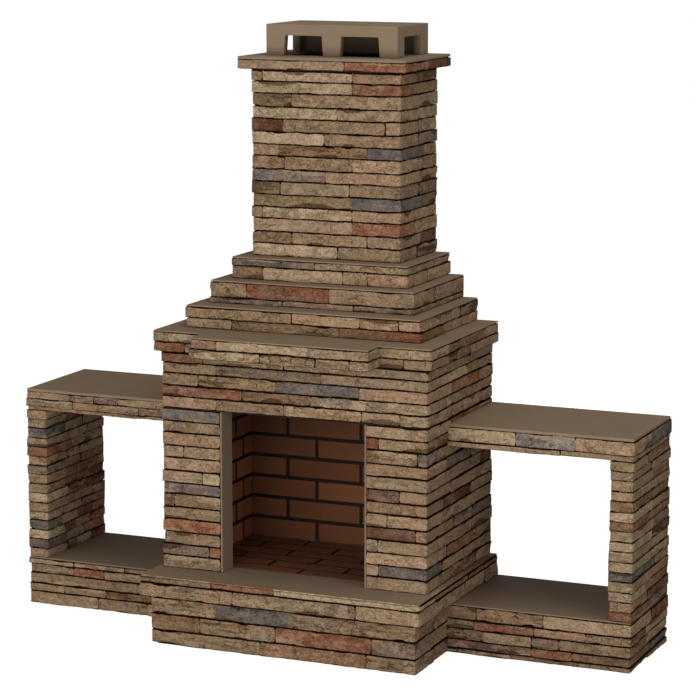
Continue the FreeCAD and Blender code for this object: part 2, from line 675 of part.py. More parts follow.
body_groups = {}
mouth_levels = courses(size("hearth_top"), size("mouth_top"))
above_levels = courses(size("mouth_top + angle_thickness"), size("mantel_low"))
right_stub = plan(("side", "woodbox_front + veneer"), ("side", "wall_rear"))
left_stub = plan(("0 - side", "wall_rear"), ("0 - side", "woodbox_front + veneer"))
for stretch, levels in (("mouth", mouth_levels), ("above", above_levels)):
    for number, (low, high) in enumerate(levels):
        draw = random.Random(f"body {stretch} {number}")
        for line, faces in body_lines(low, high, number):
            bonds = {face: FRONT_BOND[face][number % len(FRONT_BOND[face])]
                     for face in faces if face in FRONT_BOND}
            lay_course(body_groups, line, faces, low, high, draw, bonds)
        for foot, head in shelf_trims(low, high):
            for line, face in ((right_stub, "right"), (left_stub, "left")):
                lay_course(body_groups, line, (face,), foot, head, draw, {})
new_group("body_front_stones", body_groups["left_pier"] + body_groups["right_pier"] + body_groups["body"])
for face in ("left", "right", "rear"):
    new_group(f"body_{face}_stones", body_groups[face])

# Mantel edge: where the breakfront meets the rest, the stone laid first runs on behind it
mantel_lines = (
    (plan(("0", "rear"), ("0 - mantel_side", "rear"), ("0 - mantel_side", "mantel_front"),
          ("0 - breakfront_side + veneer", "mantel_front")), ("rear", "left", "left_recess")),
    (plan(("0 - breakfront_side", "mantel_front"), ("0 - breakfront_side", "breakfront_front"),
          ("breakfront_side", "breakfront_front"), ("breakfront_side", "mantel_front + veneer")),
     ("left_return", "breakfront", "right_return")),
    (plan(("breakfront_side", "mantel_front"), ("mantel_side", "mantel_front"), ("mantel_side", "rear"),
          ("0", "rear")), ("right_recess", "right", "rear")),
)
mantel_levels = courses(size("mantel_low"), size("lower_low - topping"), COURSE_SHARES["mantel"])
one_node("mantel_edge_stones", lay_lines(mantel_lines, mantel_levels, "mantel"))

for tier in ("lower", "middle", "upper"):
    half, near = size(f"{tier}_side"), size(f"{tier}_front")
    levels = courses(size(f"{tier}_low"), size(f"{tier}_low + {tier}_height - topping"), COURSE_SHARES[tier])
    one_node(f"{tier}_tier_stones", lay_ring(-half, half, near, size("rear"), levels, tier))

chimney_half = size("chimney_side")
chimney_groups = lay_ring(-chimney_half, chimney_half, size("chimney_front"), size("rear"),
                          courses(size("chimney_low"), size("crown_low")), "chimney")
for face in RING_FACES:
    new_group(f"chimney_{face}_stones", chimney_groups[face])

crown_levels = courses(size("crown_low"), size("cap_low - crown_topping"), (1,))
one_node("crown_edge_stones", lay_ring(-size("crown_side"), size("crown_side"), size("crown_front"),
                                       size("crown_rear"), crown_levels, "crown"))

# Wood box stones: three faces of base and shelf, and all four of the pier
for word, sign in SIDES:
    inner, outer = f"{sign} * side", f"{sign} * woodbox_side"
    trace = plan((inner, "woodbox_front"), (outer, "woodbox_front"), (outer, "rear"), (inner, "rear"))
    trace = trace if sign > 0 else trace[::-1]
    edges = {
        "base": courses(0, size("base_height - topping"), COURSE_SHARES[f"{word}_base"]),
        "shelf": courses(size("shelf_low"), size("shelf_top - shelf_topping"),
                         COURSE_SHARES[f"{word}_shelf"]),
    }
    for edge, levels in edges.items():
        faces = (f"{word}_{edge}", "outer", "rear")
        faces = faces if sign > 0 else faces[::-1]
        one_node(f"{word}_woodbox_{edge}_stones", lay_lines(((trace, faces),), levels, f"{word} {edge}"))
    across = sorted((sign * size("pier_side"), sign * size("woodbox_side")))
    inner_face = "left" if sign > 0 else "right"
    pier_levels = courses(size("base_height"), size("shelf_low"), usual="pier_course")
    pier_stones = lay_ring(*across, size("woodbox_front"), size("rear"), pier_levels, f"{word} pier",
                           inner_face)
    one_node(f"{word}_woodbox_pier_stones", pier_stones)

# Nothing is written unless every object and every node came out whole
document.recompute()
for item in document.Objects:
    if "Invalid" in item.State or "Error" in item.State:
        raise RuntimeError(f"{item.Label} failed: {item.State}")
for node in nodes:
    if node.Shape.isNull() or not node.Shape.isValid() or not node.Shape.Solids:
        raise RuntimeError(f"{node.Label} has no valid solid")

os.makedirs("parts", exist_ok=True)
for node in nodes:
    node.Shape.exportStep(f"parts/{node.Label}.step")
print(len(nodes), "nodes,", sum(len(node.Shape.Solids) for node in nodes), "solids")
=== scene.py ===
import random
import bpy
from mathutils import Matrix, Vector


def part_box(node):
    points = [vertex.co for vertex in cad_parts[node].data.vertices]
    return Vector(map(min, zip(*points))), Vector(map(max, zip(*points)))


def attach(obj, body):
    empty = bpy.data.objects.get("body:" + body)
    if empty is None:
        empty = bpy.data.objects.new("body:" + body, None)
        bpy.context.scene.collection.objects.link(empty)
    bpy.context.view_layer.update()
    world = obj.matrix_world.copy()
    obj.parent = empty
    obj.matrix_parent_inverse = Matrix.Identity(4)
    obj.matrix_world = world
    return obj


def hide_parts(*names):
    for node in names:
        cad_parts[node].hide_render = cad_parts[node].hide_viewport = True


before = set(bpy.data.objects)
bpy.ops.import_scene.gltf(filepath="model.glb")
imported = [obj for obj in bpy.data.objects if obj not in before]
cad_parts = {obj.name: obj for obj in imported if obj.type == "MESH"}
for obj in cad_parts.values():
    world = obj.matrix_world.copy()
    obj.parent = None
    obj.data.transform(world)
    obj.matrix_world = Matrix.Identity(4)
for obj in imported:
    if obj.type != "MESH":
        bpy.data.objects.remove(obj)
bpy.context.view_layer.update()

from types import SimpleNamespace

import bmesh
import bpy
from mathutils import Vector, noise
from mathutils.bvhtree import BVHTree


# Base ring: the hollow ring that stands on the patio and carries the hearth. Cast in
# lightweight concrete, and brushed with a brown scratch coat that the stones are bedded in.

class Wire:
    """An output in a material. Sums of values add Math nodes, and node() adds any other node."""

    def __init__(self, tree, socket=None):
        self.tree, self.socket = tree, socket

    def feed(self, inlet, value):
        """Links a wire to an input, or sets the input to a plain value."""
        if isinstance(value, Wire):
            self.tree.links.new(value.socket, inlet)
        else:
            inlet.default_value = value

    def node(self, kind, settings, sockets, output=0):
        made = self.tree.nodes.new(kind)
        for name, value in settings.items():
            setattr(made, name, value)
        for name, value in sockets.items():
            self.feed(made.inputs[name], value)
        return Wire(self.tree, made.outputs[output])

    def maths(self, operation, first, second=0.0):
        return self.node("ShaderNodeMath", {"operation": operation}, {0: first, 1: second})

    def __add__(self, other):
        return self.maths("ADD", self, other)

    def __sub__(self, other):
        return self.maths("SUBTRACT", self, other)

    def __rsub__(self, other):
        return self.maths("SUBTRACT", other, self)

    def __mul__(self, other):
        return self.maths("MULTIPLY", self, other)

    def __truediv__(self, other):
        return self.maths("DIVIDE", self, other)

    def __rtruediv__(self, other):
        return self.maths("DIVIDE", other, self)

    __radd__ = __add__
    __rmul__ = __mul__

    def ramp(self, low, high):
        """0 below the low value, 1 above the high one, and smooth between."""
        return self.node("ShaderNodeMapRange", {"interpolation_type": "SMOOTHSTEP"},
                         {"Value": self, "From Min": low, "From Max": high})

    def mix(self, amount, under, over):
        return self.node("ShaderNodeMix", {"data_type": "RGBA"}, {0: amount, 6: under, 7: over}, 2)

    def shade(self, colour, amount):
        """A colour made lighter or darker."""
        return self.node("ShaderNodeVectorMath", {"operation": "SCALE"},
                         {0: colour, "Scale": amount})

    def tint(self, colour, share):
        """A colour whose red, green and blue are each multiplied by a share."""
        return self.node("ShaderNodeVectorMath", {"operation": "MULTIPLY"}, {0: colour, 1: share})

    def attribute(self, name, output="Fac"):
        return self.node("ShaderNodeAttribute", {"attribute_name": name}, {}, output)

    def place(self):
        return self.node("ShaderNodeTexCoord", {}, {}, "Object")

    def stretched(self, place, scale):
        return self.node("ShaderNodeMapping", {}, {"Vector": place, "Scale": scale})

    def cloud(self, place, scale, detail=3.0, roughness=0.55, output=0):
        """Soft noise from 0 to 1; scale is how many blotches there are in a metre."""
        return self.node("ShaderNodeTexNoise", {},
                         {"Vector": place, "Scale": scale, "Detail": detail,
                          "Roughness": roughness}, output)

    def parts(self, vector):
        split = self.node("ShaderNodeSeparateXYZ", {}, {0: vector})
        return [Wire(self.tree, socket) for socket in split.socket.node.outputs]

    def chances(self, seed):
        """Three random values from 0 to 1 that are the same all over one stone."""
        return self.parts(self.node("ShaderNodeTexWhiteNoise", {"noise_dimensions": "1D"},
                                    {"W": seed}, "Color"))

    def bump(self, height, strength, distance):
        return self.node("ShaderNodeBump", {}, {"Height": height, "Strength": strength,
                                                "Distance": distance})

    def surface(self, **sockets):
        shader = self.tree.nodes["Principled BSDF"]
        for name, value in sockets.items():
            self.feed(shader.inputs[name.replace("_", " ")], value)


def new_finish(name):
    material = bpy.data.materials.new(name)
    material.use_nodes = True
    return material, Wire(material.node_tree)


def paint(red, green, blue):
    """A colour given from 0 to 255, as the shader wants it."""
    linear = [((part / 255 + 0.055) / 1.055) ** 2.4 if part > 10 else part / 255 / 12.92
              for part in (red, green, blue)]
    return (*linear, 1.0)


WELD = 0.00002
FLAT = 0.02


def merged_copy(node):
    """A bmesh of a node, with its loose triangles joined into whole flat faces."""
    shape = bmesh.new()
    shape.from_mesh(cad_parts[node].data)
    bmesh.ops.remove_doubles(shape, verts=shape.verts, dist=WELD)
    bmesh.ops.dissolve_limit(shape, angle_limit=FLAT, verts=shape.verts, edges=shape.edges)
    return shape


def set_in_place(shape, node, suffix, slot, *materials):
    """Makes a finished piece of a bmesh, which stands for a CAD node."""
    mesh = bpy.data.meshes.new(f"{node}_{suffix}")
    shape.to_mesh(mesh)
    shape.free()
    for material in materials:
        mesh.materials.append(material)
    piece = bpy.data.objects.new(f"{node}_{suffix}", mesh)
    bpy.context.scene.collection.objects.link(piece)
    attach(piece, "root")
    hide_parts(node)
    return piece


everything = bmesh.new()
for cad_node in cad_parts.values():
    everything.from_mesh(cad_node.data)
surroundings = BVHTree.FromBMesh(everything)
everything.free()

STONE_DEPTH = 0.026
BEDDING = 0.018
OFF_THE_FACE = 0.0005
COAT_FINISH = 1


def upright(face):
    return abs(face.normal.z) < 0.1


def carries_stones(face):
    """Whether stones are bedded on an upright face: most of it lies behind one stone's depth."""
    if not upright(face):
        return False
    middle = face.calc_center_median()
    spots = [middle.lerp(corner.co, share) for corner in face.verts for share in (0.4, 0.85)]
    spots.append(middle)
    behind = 0
    for spot in spots:
        start = spot + face.normal * OFF_THE_FACE
        hit, normal = surroundings.ray_cast(start, face.normal, STONE_DEPTH)[:2]
        behind += hit is not None and normal.dot(face.normal) > 0
    return behind > len(spots) / 2


def bed_out(shape):
    """Brings the coat forward between the stones, and marks it as the second finish."""
    moves = {}
    for face in [face for face in shape.faces if carries_stones(face)]:
        face.material_index = COAT_FINISH
        for corner in face.verts:
            way = tuple(round(part, 3) for part in face.normal)
            moves.setdefault(corner, set()).add(way)
    for corner, ways in moves.items():
        for way in ways:
            corner.co += Vector(way) * BEDDING


scratch_coat, wire = new_finish("brown_scratch_coat")
place = wire.place()
combed = wire.cloud(wire.stretched(place, (6.0, 6.0, 90.0)), 1.0)
gritty = wire.cloud(place, 260.0, 4.0, 0.7)
wire.surface(Base_Color=wire.mix(combed * 0.6 + gritty * 0.4, paint(28, 14, 4), paint(46, 26, 10)),
             Roughness=0.95, Specular_IOR_Level=0.0,
             Normal=wire.bump(combed + gritty, 0.6, 0.002))


def coat_panel(node):
    """A concrete piece that stones or bricks hide, under its scratch coat."""
    shape = merged_copy(node)
    bed_out(shape)
    return set_in_place(shape, node, "coated", "concrete", scratch_coat, scratch_coat)


coat_panel("base_module")


# Base stones: thin natural ledgestone, split by hand so that its faces are rough and its
# edges chipped, and bedded dry-looking in courses against the base ring.

TOUCHING = 0.001
OPEN_ROOM = 0.018
OUT_OF_REACH = 2.0


def stands_open(face):
    """Whether an upright face looks out into the open, and not into a joint or the wall."""
    middle = face.calc_center_bounds()
    touched = surroundings.find_nearest_range(middle, TOUCHING)
    if not upright(face) or any(normal.dot(face.normal) < -0.9 for _, normal, _, _ in touched):
        return False
    start = middle + face.normal * TOUCHING
    hit, normal, _, distance = surroundings.ray_cast(start, face.normal, OUT_OF_REACH)
    return hit is None or (distance > OPEN_ROOM and normal.dot(face.normal) < 0)


# Each kind of stone has a letter, for its colour and for how strongly it is stained
STONES = {
    "t": (paint(158, 131, 101), 0.2),   # tan
    "l": (paint(172, 147, 116), 0.15),  # light buff
    "g": (paint(136, 118, 98), 0.5),    # grey tan
    "b": (paint(110, 102, 96), 0.35),   # blue grey
    "r": (paint(140, 91, 67), 0.3),     # rust
    "k": (paint(104, 66, 48), 0.5),     # red brown
    "n": (paint(134, 103, 76), 0.5),    # brown
    "d": (paint(146, 119, 89), 1.0),    # tan with dark stains
    "s": (paint(98, 89, 80), 0.8),      # dark slate
    "p": (paint(134, 123, 112), 0.15),  # pale grey
}
USUAL_STONES = "tttttttttttlllggbbrrkndd"

ledgestone, wire = new_finish("split_ledgestone")
seed = wire.maths("ROUND", wire.attribute("stone_seed"))
shade_and_grime = wire.attribute("stone_shade_and_grime")
stain = wire.attribute("stone_stain")
along, rise = wire.parts(wire.attribute("stone_spot", "Vector"))[:2]
place = wire.node("ShaderNodeVectorMath", {"operation": "MULTIPLY_ADD"},
                  {0: seed, 1: (0.31, 0.17, 0.23), 2: wire.place()})

# Blotches from a hand's breadth down to single grains, and dark beds along the stone
patches = wire.cloud(place, 9.0, 3.0, 0.6).ramp(0.36, 0.64)
mottle = wire.cloud(place, 55.0, 4.0, 0.65).ramp(0.28, 0.72)
grain = wire.cloud(place, 170.0, 3.0, 0.7).ramp(0.36, 0.64)
freckles = wire.cloud(place, 230.0, 2.0, 0.6).ramp(0.58, 0.68)
bedding = wire.cloud(wire.stretched(place, (5.0, 5.0, 34.0)), 1.0, 3.0, 0.6)

# Thin flakes that step down one from another, each with a tone and a painted shade along its foot
flaked = wire.cloud(wire.stretched(place, (1.0, 1.0, 1.6)), 15.0, 4.0, 0.55) * 6
flake_tone = wire.chances(seed + wire.maths("FLOOR", flaked) * 0.037 + 0.4)[0]
flake_step_shade = 1 - wire.maths("FRACT", flaked).ramp(0.0, 0.16)

# Fine crooked cracks, in some places only
bent = wire.node("ShaderNodeVectorMath", {"operation": "MULTIPLY_ADD"},
                 {0: wire.cloud(place, 45.0, 3.0, 0.5, "Color"), 1: (0.035, 0.035, 0.025),
                  2: place})
cracks = 1 - wire.node("ShaderNodeTexVoronoi", {"feature": "DISTANCE_TO_EDGE"},
                       {"Vector": wire.stretched(bent, (1.0, 1.0, 2.2)),
                        "Scale": 20.0}).ramp(0.0, 0.06)
cracks = cracks * wire.cloud(place, 16.0, 2.0).ramp(0.43, 0.58)


def flake_scar(shift, share, bow):
    """Where a flake has split off a share of the stones: a corner, or with a bow a lens."""
    centre, width, level = wire.chances(seed + shift)
    side, slope, shown = wire.chances(seed + shift + 0.5)
    run = (along - (centre - 0.5) * 0.24) / (0.04 + width * 0.08)
    reach = rise * (side.ramp(0.49, 0.51) * 2 - 1) + run * (slope - 0.5) * (2.4 - bow * 1.8)
    reach = reach + (mottle - 0.5) * 0.4
    level = level * 0.7 + 0.62 - bow * 0.7
    scar = (reach - level - run * run * bow).ramp(0.0, 0.06)
    return scar * shown.ramp(1 - share, 1.01 - share)


# Painted shade on the facets where a flake has split off, at a corner or in a lens
scar_shade = wire.maths("MAXIMUM", flake_scar(0.1, 0.25, 0.4), flake_scar(0.2, 0.16, 1.0))
pale_scar = flake_scar(0.3, 0.4, 0.3)

turn, hue = wire.chances(seed + 0.9)[:2]
other = wire.mix(hue.ramp(0.45, 0.5), paint(170, 132, 104), paint(148, 130, 98))
other = wire.mix(turn.ramp(0.5, 0.55), other, paint(140, 122, 102))
colour = wire.mix(patches * 0.5, wire.attribute("stone_tone", "Color"), other)
colour = wire.mix(flake_tone * 0.34 + mottle * 0.34 + grain * 0.32,
                  wire.tint(colour, (0.42, 0.36, 0.29)), wire.tint(colour, (1.70, 1.79, 1.95)))
# Painted shade along the foot of each flake step
colour = wire.mix(flake_step_shade * (0.5 + stain * 0.4), colour, wire.tint(colour, (0.36, 0.30, 0.23)))
colour = wire.mix(pale_scar * 0.4, colour, paint(196, 172, 138))
# Dark bedding stains, and the painted shade of the scars
bed_stain_and_scar_shade = wire.maths("MAXIMUM", bedding.ramp(0.5, 0.62) * stain, scar_shade)
colour = wire.mix(bed_stain_and_scar_shade * 0.86, colour, wire.tint(colour, (0.30, 0.25, 0.19)))
colour = wire.mix(cracks * (0.5 + stain * 0.5), colour, paint(58, 35, 17))
colour = wire.mix(freckles * 0.38, colour, paint(60, 38, 21))
uneven = (mottle - 0.5) * 0.3 + (wire.cloud(place, 14.0, 2.0) - 0.5) * 0.5
# Painted shade with some grime darkens each stone towards its joints and corners, and a painted
# shadow falls under an overhang
painted_shade_and_grime = (shade_and_grime + uneven).ramp(0.66, 0.96)
relief = mottle * 0.6 + grain * 0.4 + flaked * 0.4
relief = relief - scar_shade * 0.8 + pale_scar * 0.5 - cracks * 0.5
wire.surface(Base_Color=wire.mix(painted_shade_and_grime, colour, paint(32, 16, 5)), Roughness=0.92,
             Specular_IOR_Level=0.02, Normal=wire.bump(relief, 0.9, 0.005))


def number_pieces(shape, number):
    """Numbers each separate stone or brick from 1 up, and returns how many there are."""
    count = 0
    for face in shape.faces:
        if face[number]:
            continue
        count += 1
        face[number] = count
        reached = [face]
        while reached:
            for side in reached.pop().edges:
                for neighbour in side.link_faces:
                    if not neighbour[number]:
                        neighbour[number] = count
                        reached.append(neighbour)
    return count


def rows_of(rows, left=-2.0, right=2.0, foot=0.0, head=3.0):
    """Rows of letters for the stones of a front, from the top and the left, inside these bounds."""
    return rows, left, right, foot, head


def front_letters(fronts, schedules):
    """The letter of each stone that a row names."""
    letters = {}
    for rows, left, right, foot, head in schedules:
        levels = {}
        for stone, middle in fronts:
            if left < middle.x < right and foot < middle.z < head:
                levels.setdefault(round(middle.z, 3), []).append((middle.x, stone))
        for row, level in zip(rows, sorted(levels, reverse=True)):
            for letter, (_, stone) in zip(row, sorted(levels[level])):
                letters[stone] = letter
    return letters


def height_of(face):
    levels = [corner.co.z for corner in face.verts]
    return max(levels) - min(levels)


STONE_PITCH = 0.016
BORDER = 0.006
BORDER_SHARE = 0.18
LEVEL = 0.0001


def split_faces(stones, open_faces, heights):
    """Divides the open faces into a grid with a narrow border, fine enough to be chipped."""
    number = stones.faces.layers.int["stone"]
    split = stones.faces.layers.int["split"]
    borders, runs, rises = {}, {}, {}
    for face in open_faces:
        face[split] = 1
        margin = round(min(BORDER, height_of(face) * BORDER_SHARE), 4)
        borders.setdefault(margin, []).append(face)
    for margin, faces in borders.items():
        inset = bmesh.ops.inset_individual(stones, faces=faces, thickness=margin,
                                           use_even_offset=True)
        for face in inset["faces"]:
            face[split] = 1
    for face in open_faces:
        for inner in face.edges:
            if abs(inner.verts[0].co.z - inner.verts[1].co.z) > LEVEL:
                continue
            border = next(beside for beside in inner.link_faces if beside is not face)
            outer = next(side for side in border.edges if not set(side.verts) & set(inner.verts))
            cuts = max(1, round(inner.calc_length() / STONE_PITCH))
            runs.setdefault(cuts, []).extend((inner, outer))
    for cuts, edges in runs.items():
        bmesh.ops.subdivide_edges(stones, edges=edges, cuts=cuts, use_grid_fill=True)
    for side in stones.edges:
        open_side = next((face for face in side.link_faces if face[split]), None)
        if open_side is None:
            continue
        height = heights[open_side[number]]
        reach = side.verts[1].co - side.verts[0].co
        if abs(reach.z) > height * 0.5 and reach.xy.length < LEVEL:
            rises.setdefault(max(1, round(height / STONE_PITCH)), []).append(side)
    for cuts, edges in rises.items():
        bmesh.ops.subdivide_edges(stones, edges=edges, cuts=cuts, use_grid_fill=True)


PROUD = 0.0065
ROUGHNESS = ((0.0014, 0.05), (0.0010, 0.017))
CLEFT_SLOPE = 0.6


def split_relief(spot, away, look):
    """How far a point of a split face stands out: a rough, leaning face with a step across it."""
    relief = PROUD + look.stand
    for height, length in ROUGHNESS:
        relief += height * noise.noise(spot / length)
    relief += away.dot(look.lean)
    cleft = away.z - look.cleft_rise * (away.x + away.y) - look.cleft_level
    if cleft * look.cleft_side > 0:
        relief -= min(look.cleft_depth, abs(cleft) * CLEFT_SLOPE)
    return relief


WAVER, WAVER_LENGTH = 0.0022, 0.13
WAVER_SHIFTS = (Vector((3.1, 0.0, 0.0)), Vector((0.0, 17.3, 0.0)), Vector((0.0, 0.0, 41.7)))


def bed_waver(spot, outward):
    """Both sides of a joint waver together, so that no course is quite straight."""
    waver = WAVER * Vector([noise.noise(spot / WAVER_LENGTH + shift) for shift in WAVER_SHIFTS])
    return waver - outward * waver.dot(outward)


BITE, BITE_LENGTH, BITE_START, BITE_SLOPE = 0.0055, 0.07, 0.32, 0.03


def bed_bite(spot, away, look):
    """Here and there a piece is lost from the head or the foot, more on a stained stone."""
    depth = min(BITE, max(0.0, noise.noise(spot / BITE_LENGTH) - BITE_START) * BITE_SLOPE)
    return Vector((0.0, 0.0, depth)) * ((0.4 + look.stain) * (-1 if away.z > 0 else 1))


# How far the arrises are worn and chipped, and how far they close the joints
ARRIS_WEAR, CHIP_DEPTH, CHIP_REACH = 0.0010, 0.0014, 0.0022
CHIP_LENGTH, CRUMB_LENGTH, UNEVEN_LENGTH = 0.025, 0.009, 0.12
BED_CLOSING, TIGHT_CLOSING, UPRIGHT_CLOSING, UNEVEN_CLOSING = 0.0014, 0.0006, 0.0023, 0.0012
NEAR_WEAR, CORNER_WEAR = 0.0003, 0.0008
# How much painted shade, with some grime, darkens the points: in a joint or a bed, by an upright
# joint, near an edge, at a corner, and the painted shadow under an overhang
BED_SHADE_AND_GRIME, TIGHT_SHADE_AND_GRIME, UPRIGHT_SHADE_AND_GRIME = 1.0, 0.12, 0.74
NEAR_SHADE_AND_GRIME, CORNER_SHADE_AND_GRIME, OVERHANG_SHADOW = 0.3, 0.25, 1.4


def chip_stones(stones, looks, tight, head, head_level):
    """Moves the points of the open faces: rough relief, a cleft or two, and chipped arrises."""
    number = stones.faces.layers.int["stone"]
    split = stones.faces.layers.int["split"]
    tone = stones.verts.layers.float_color.new("stone_tone")
    seed = stones.verts.layers.float.new("stone_seed")
    stain = stones.verts.layers.float.new("stone_stain")
    # How much painted shade and grime each point gets, darkest in the joints
    shade_and_grime = stones.verts.layers.float.new("stone_shade_and_grime")
    local = stones.verts.layers.float_vector.new("stone_spot")
    stones.normal_update()
    border = {point for point in stones.verts if any(not face[split] for face in point.link_faces)}
    moves = []
    for point in stones.verts:
        faces = point.link_faces
        look = looks[faces[0][number]]
        point[tone], point[seed], point[stain] = look.tone, look.seed, look.stain
        away = point.co - look.middle
        point[local] = (away.x + away.y, away.z * 2 / look.height, 0.0)
        outward = sum((face.normal for face in faces if face[split]), Vector())
        if not outward.length:
            point[shade_and_grime] = BED_SHADE_AND_GRIME
            continue
        outward.normalize()
        spot = point.co + look.offset
        at_head = point.co.z > head_level
        relief = split_relief(spot, away, look)
        waver = bed_waver(point.co, outward)
        bite = bed_bite(spot, away, look)
        if point in border:
            inward = sum((face.normal for face in faces if not face[split]), Vector()).normalized()
            chip = noise.noise(spot / CHIP_LENGTH) + 0.7 * noise.noise(spot / CRUMB_LENGTH)
            relief -= ARRIS_WEAR + CHIP_DEPTH * max(chip, -0.5)
            on_bed = abs(inward.z) > 0.5
            closing = BED_CLOSING + TIGHT_CLOSING * tight if on_bed else UPRIGHT_CLOSING
            closing += UNEVEN_CLOSING * noise.noise(spot / UNEVEN_LENGTH)
            move = waver + outward * relief - inward * (CHIP_REACH * max(chip, 0.0) - closing)
            moves.append((point, move + bite if on_bed else move))
            point[shade_and_grime] = BED_SHADE_AND_GRIME - TIGHT_SHADE_AND_GRIME * tight if on_bed else UPRIGHT_SHADE_AND_GRIME
            if head == "flush" and on_bed and at_head and outward.y < -0.5:
                point[shade_and_grime] = NEAR_SHADE_AND_GRIME
        else:
            near = any(side.other_vert(point) in border for side in point.link_edges)
            turned = any(face.normal.dot(outward) < 0.9 for face in faces)
            point[shade_and_grime] = NEAR_SHADE_AND_GRIME if near else CORNER_SHADE_AND_GRIME if turned else 0.0
            # Under an overhang the points near the head get a painted shadow
            if head == "shaded" and near and at_head:
                point[shade_and_grime] = OVERHANG_SHADOW
            relief -= (NEAR_WEAR if near else 0.0) + (CORNER_WEAR if turned else 0.0)
            by_bed = near and abs(away.z) > look.height * 0.25
            moves.append((point, waver + outward * relief + bite * (0.6 if by_bed else 0.0)))
    for point, move in moves:
        point.co += move


HEAD_DEPTH = 0.012
SMOOTH_ANGLE = 0.6


def lay_stones(node, *schedules, others=USUAL_STONES, tight=0.0, head="jointed"):
    """Dresses the stones of one node, each with a tone and a split face of its own.

    The schedules name the stones of the front, and others are drawn for the rest. The beds are
    close where tight is 1, and gape where it is -1. The top course ends in a joint, or gets a
    painted shadow under an overhang, or is flush in front with the lip over it.
    """
    stones = merged_copy(node)
    number = stones.faces.layers.int.new("stone")
    split = stones.faces.layers.int.new("split")
    count = number_pieces(stones, number)
    open_faces = [face for face in stones.faces if stands_open(face)]
    letters = front_letters([(face[number], face.calc_center_bounds()) for face in open_faces
                             if face.normal.y < -0.9], schedules)
    middles, heights = {}, {}
    for face in open_faces:
        middles.setdefault(face[number], face.calc_center_bounds())
        heights[face[number]] = height_of(face)
    looks = {}
    for stone in range(1, count + 1):
        draw = random.Random(f"{node} {stone}")
        tone, stain = STONES[letters.get(stone) or draw.choice(others)]
        brightness = draw.uniform(0.86, 1.14)
        looks[stone] = SimpleNamespace(
            tone=[part * brightness for part in tone[:3]] + [1.0],
            stain=stain * draw.uniform(0.6, 1.0),
            seed=draw.randrange(1000),
            offset=Vector((draw.uniform(0, 9), draw.uniform(0, 9), draw.uniform(0, 9))),
            middle=middles.get(stone, Vector()),
            height=heights.get(stone, 0.05),
            stand=draw.uniform(-0.0006, 0.0008),
            lean=Vector([draw.uniform(-reach, reach) for reach in (0.003, 0.003, 0.022)]),
            cleft_rise=draw.uniform(-0.35, 0.35),
            cleft_level=draw.uniform(-0.015, 0.015),
            cleft_side=draw.choice((-1, 1)),
            cleft_depth=draw.choice((0.0, 0.0, 0.002, 0.003, 0.005)),
        )
    opened = set(open_faces)
    beds = [face for face in stones.faces if face not in opened and len(face.verts) > 4]
    bmesh.ops.triangulate(stones, faces=beds, ngon_method="EAR_CLIP")
    split_faces(stones, open_faces, heights)
    chip_stones(stones, looks, tight, head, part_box(node)[1].z - HEAD_DEPTH)
    for face in stones.faces:
        face.smooth = bool(face[split])
    for arris in stones.edges:
        arris.smooth = arris.calc_face_angle(3.0) < SMOOTH_ANGLE
    return set_in_place(stones, node, "dressed", "stone", ledgestone)


# The top course gets a painted shadow under the overhang of the hearth.
lay_stones("base_stones", rows_of(("dsd", "ndrg", "dnd")), tight=-1.0, head="shaded")


# Hearth slab: the raised slab in front of and under the fire, cast in one piece with a
# steel-trowelled taupe topping that runs out over its edge stones. In front its lip is faced
# to match them, and the narrow ledges beside the body are finished in stone.

concrete, wire = new_finish("trowelled_concrete")
place = wire.place()
blotches = wire.cloud(place, 5.0, 4.0, 0.6)
sweeps = wire.cloud(wire.stretched(place, (4.0, 22.0, 22.0)), 1.0, 3.0)
pores = wire.cloud(place, 420.0, 2.0, 0.8)
clean = wire.shade(paint(137, 118, 97)[:3], 0.80 + blotches * 0.20 + sweeps * 0.12 + pores * 0.08)
# Soot inside the cap, and painted shade on the jambs and in the wood boxes
soot_and_shade_mask = wire.attribute("soot_and_shade") * (0.5 + blotches * 0.3)
wire.surface(Base_Color=wire.mix(soot_and_shade_mask, clean, paint(36, 29, 22)),
             Roughness=0.7 + pores * 0.2, Specular_IOR_Level=0.03,
             Normal=wire.bump(sweeps * 0.6 + pores * 0.4, 0.25, 0.002))

ARRIS = 0.002
SHARP = 0.5


def rub_down(shape, arris):
    """Rounds the sharp edges of a casting."""
    sharp = [side for side in shape.edges
             if len(side.link_faces) == 2 and side.calc_face_angle() > SHARP]
    bmesh.ops.bevel(shape, geom=sharp, offset=arris, offset_type="OFFSET", segments=2, profile=0.5,
                    affect="EDGES", clamp_overlap=True, material=-1)


def cast(node, arris=ARRIS):
    """A concrete piece with its arrises rubbed down."""
    shape = merged_copy(node)
    bed_out(shape)
    rub_down(shape, arris)
    return set_in_place(shape, node, "cast", "concrete", concrete, scratch_coat)


def cut_across(shape, spot, way):
    bmesh.ops.bisect_plane(shape, geom=shape.verts[:] + shape.edges[:] + shape.faces[:],
                           plane_co=spot, plane_no=way)


TOPPING = 0.006
LIP_STONES = "trl"
LIP_JOINTS = (0.26, 0.49)
ALONG_X, ALONG_Y = Vector((1.0, 0.0, 0.0)), Vector((0.0, 1.0, 0.0))
STONE_FINISH = 2

